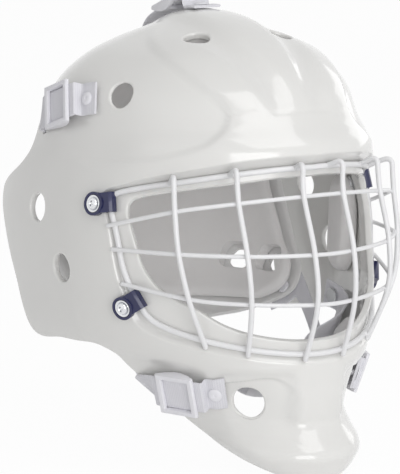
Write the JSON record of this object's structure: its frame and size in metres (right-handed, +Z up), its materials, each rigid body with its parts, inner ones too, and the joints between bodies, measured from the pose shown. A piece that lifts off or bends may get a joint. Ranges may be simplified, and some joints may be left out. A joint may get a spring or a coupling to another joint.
{
  "type": "hockey goalie mask",
  "caption": "White moulded goalie mask with a welded wire cage, vents, webbing harness with sliding buckles, swinging padded backplate and hinged chin cup.",
  "frame": {"origin": "centre of the wearer's head, on the mid-plane, level with the middle of the eye port", "axes": "+Z up through the crown, -Y the way the face looks, -X the wearer's right"},
  "size_m": [0.2318, 0.2625, 0.3089],
  "materials": {
    "shell_white": "gloss",
    "wire_white": "satin powder coat",
    "clip_navy": "gloss",
    "washer_dark": "satin",
    "screw_chrome": "polished",
    "steel": "brushed",
    "webbing": "woven",
    "buckle": "satin",
    "plate_grey": "satin",
    "foam": "brushed liner on foam",
    "cup": "satin"
  },
  "bodies": {
    "mask": {"shell": "shell_white", "cage_rim": "wire_white", "cage_uprights": "wire_white", "cage_crossbars": "wire_white", "upper_clip_right": "clip_navy", "upper_clip_left": "clip_navy", "lower_clip_right": "clip_navy", "lower_clip_left": "clip_navy", "cage_screws": "screw_chrome", "cup_washers": "washer_dark", "cage_nuts": "steel", "top_strap": "webbing", "upper_strap_right": "webbing", "upper_strap_left": "webbing", "lower_strap_right": "webbing", "lower_strap_left": "webbing", "shell_rivets": "buckle", "forehead_pad": "foam", "crown_pad": "foam", "temple_pad_right": "foam", "temple_pad_left": "foam", "cheek_pad_right": "foam", "cheek_pad_left": "foam", "jaw_pad_right": "foam", "jaw_pad_left": "foam", "chin_studs": "steel"},
    "backplate": {"backplate": "plate_grey", "backplate_foam": "foam", "backplate_rivets": "buckle"},
    "top_slide": {"top_slide": "buckle"},
    "upper_slide_right": {"upper_slide_right": "buckle"},
    "upper_slide_left": {"upper_slide_left": "buckle"},
    "lower_slide_right": {"lower_slide_right": "buckle"},
    "lower_slide_left": {"lower_slide_left": "buckle"},
    "chin_cup": {"chin_cup": "cup", "chin_cup_foam": "foam", "chin_cup_rivets": "buckle", "chin_strap_right": "webbing", "chin_strap_left": "webbing"}
  },
  "joints": [
    {"name": "backplate_swing", "type": "hinge", "parent": "mask", "child": "backplate", "pos_m": [0, 0.05, 0.146], "axis": [1, 0, 0], "range_deg": [0, 20], "stiffness_Nm_per_rad": 1.5, "deforming": ["top_strap", "upper_strap_right", "upper_strap_left", "lower_strap_right", "lower_strap_left"]},
    {"name": "top_slide_adjust", "type": "slide", "parent": "mask", "child": "top_slide", "axis": [0, 0.9393, -0.343], "range_m": [-0.005, 0.005]},
    {"name": "upper_slide_right_adjust", "type": "slide", "parent": "mask", "child": "upper_slide_right", "axis": [-0.0253, 0.9543, -0.2979], "range_m": [-0.005, 0.005]},
    {"name": "upper_slide_left_adjust", "type": "slide", "parent": "mask", "child": "upper_slide_left", "axis": [0.0253, 0.9543, -0.2979], "range_m": [-0.005, 0.005]},
    {"name": "lower_slide_right_adjust", "type": "slide", "parent": "mask", "child": "lower_slide_right", "axis": [-0.4057, 0.9136, 0.0286], "range_m": [-0.005, 0.005]},
    {"name": "lower_slide_left_adjust", "type": "slide", "parent": "mask", "child": "lower_slide_left", "axis": [0.4057, 0.9136, 0.0286], "range_m": [-0.005, 0.005]},
    {"name": "chin_cup_swing", "type": "hinge", "parent": "mask", "child": "chin_cup", "pos_m": [0, -0.03007, -0.04611], "axis": [1, 0, 0], "range_deg": [-10, 12]}
  ]
}
